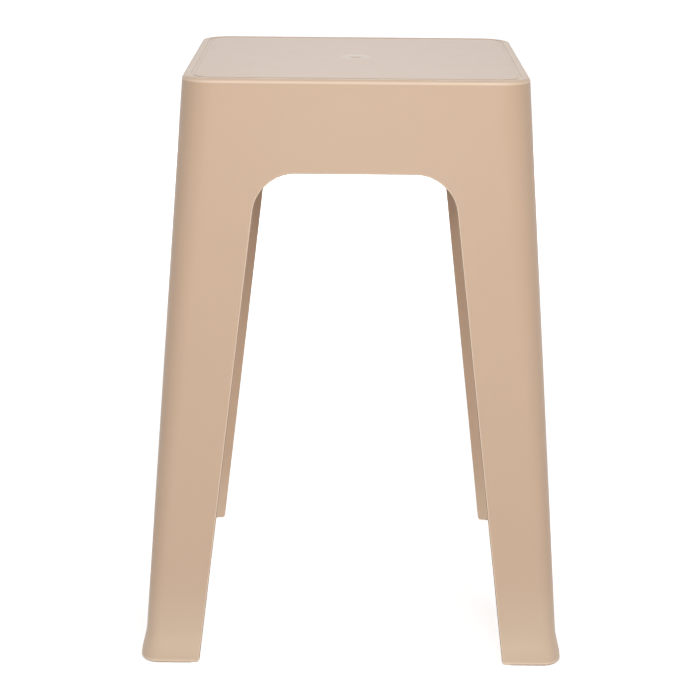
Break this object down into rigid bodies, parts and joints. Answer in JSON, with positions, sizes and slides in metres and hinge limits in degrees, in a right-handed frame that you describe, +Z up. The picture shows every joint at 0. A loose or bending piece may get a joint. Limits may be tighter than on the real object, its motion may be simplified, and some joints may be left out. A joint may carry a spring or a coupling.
{
  "type": "stacking stool",
  "caption": "Square moulded stool with arched sides and splayed corner legs, hollow below so that it nests over another one.",
  "frame": {"origin": "on the floor below the middle of the seat, the bottom centre of the whole stool", "axes": "+Z up from the floor to the seat, +X to the right and -Y to the front as the picture shows the stool; the four sides are alike"},
  "size_m": [0.3274, 0.3274, 0.45],
  "materials": {
    "shell": "beige moulded plastic, satin, with a very fine grain",
    "pad": "soft matt elastomer, a shade darker than the shell"
  },
  "bodies": {
    "root": {"stool_shell": "shell", "foot_pad_front_left": "pad", "foot_pad_front_right": "pad", "foot_pad_rear_left": "pad", "foot_pad_rear_right": "pad"}
  },
  "joints": []
}
